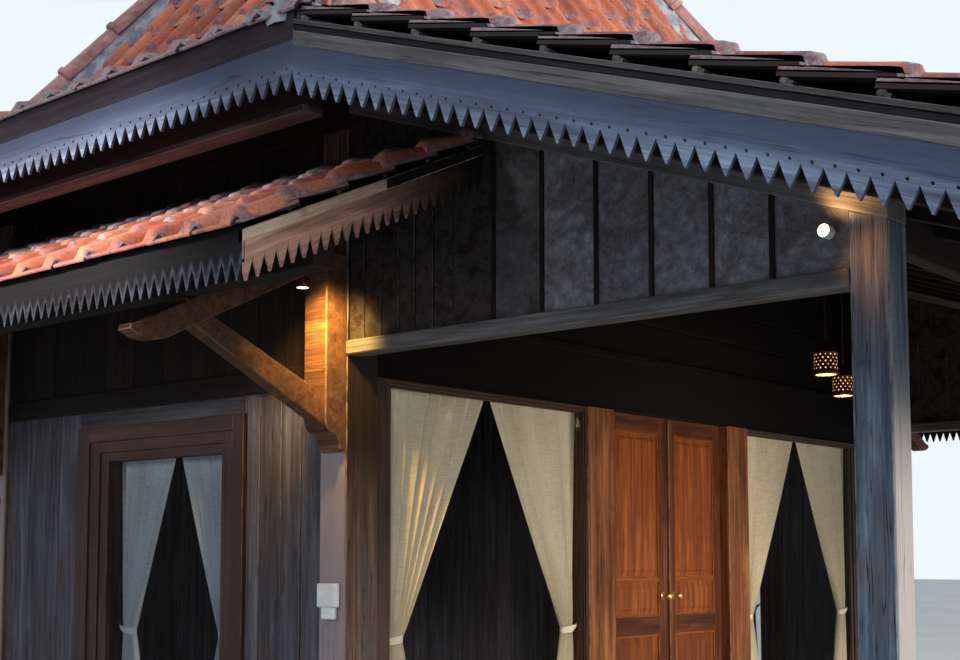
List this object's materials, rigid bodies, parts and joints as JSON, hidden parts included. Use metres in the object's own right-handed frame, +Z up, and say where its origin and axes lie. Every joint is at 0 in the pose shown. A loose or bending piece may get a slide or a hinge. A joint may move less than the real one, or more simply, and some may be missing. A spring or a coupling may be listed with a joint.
{
  "type": "javanese timber house",
  "caption": "Timber house on a low plinth with a steep hipped clay tile roof over a wide lower roof, a front porch, side awnings and a double door.",
  "frame": {"origin": "middle of the underside of the plinth, in the centre of the roof's plan", "axes": "+Z up, +X to the right along the front wall, +Y from the porch to the back of the house"},
  "size_m": [8.2798, 7.9868, 6.7614],
  "materials": {
    "stone": "matte",
    "post_wood": "weathered",
    "board_wood": "weathered",
    "fascia_wood": "weathered",
    "roof_timber": "matte",
    "frame_wood": "satin",
    "door_wood": "satin",
    "glass": "clear",
    "linen": "matte",
    "clay_tile": "matte",
    "knob_brass": "polished",
    "lantern_metal": "satin",
    "lamp_body": "satin"
  },
  "bodies": {
    "house": {"plinth_floor": "stone", "corner_post_front_left": "post_wood", "corner_post_front_right": "post_wood", "corner_post_back_left": "post_wood", "corner_post_back_right": "post_wood", "door_post_left": "post_wood", "door_post_right": "post_wood", "porch_post_1": "post_wood", "porch_post_2": "post_wood", "porch_post_3": "post_wood", "porch_post_4": "post_wood", "door_threshold": "post_wood", "side_wall_left": "board_wood", "side_wall_right": "board_wood", "back_wall": "board_wood", "porch_side_panel_left": "board_wood", "porch_side_panel_right": "board_wood", "fascia_left": "fascia_wood", "fascia_right": "fascia_wood", "fascia_front": "fascia_wood", "fascia_back": "fascia_wood", "awning_fascia_left": "fascia_wood", "awning_fascia_right": "fascia_wood", "front_wall_head": "roof_timber", "wall_plate": "roof_timber", "lower_roof_front": "roof_timber", "lower_roof_back": "roof_timber", "lower_roof_left": "roof_timber", "lower_roof_right": "roof_timber", "upper_roof": "roof_timber", "awning_roof_left": "roof_timber", "awning_roof_right": "roof_timber", "porch_beam": "roof_timber", "front_window_left": "frame_wood", "front_window_right": "frame_wood", "side_window_left": "frame_wood", "side_window_right": "frame_wood", "front_glass_left": "glass", "front_glass_right": "glass", "side_glass_left": "glass", "side_glass_right": "glass", "front_curtains_left": "linen", "front_curtains_right": "linen", "side_curtains_left": "linen", "side_curtains_right": "linen", "ridge_and_hip_caps": "clay_tile", "pendant_lamp_1": "lantern_metal", "pendant_lamp_2": "lantern_metal", "bracket_lamp": "lamp_body", "porch_lamp": "lamp_body", "socket_box": "lamp_body"},
    "door_left": {"door_leaf_left": "door_wood", "door_knob_left": "knob_brass"},
    "door_right": {"door_leaf_right": "door_wood", "door_knob_right": "knob_brass"}
  },
  "joints": [
    {"name": "door_left_hinge", "type": "hinge", "parent": "house", "child": "door_left", "pos_m": [-0.621, -0.1395, 1.3], "axis": [0, 0, 1], "range_deg": [0, 90]},
    {"name": "door_right_hinge", "type": "hinge", "parent": "house", "child": "door_right", "pos_m": [0.621, -0.1395, 1.3], "axis": [0, 0, -1], "range_deg": [0, 90]}
  ]
}
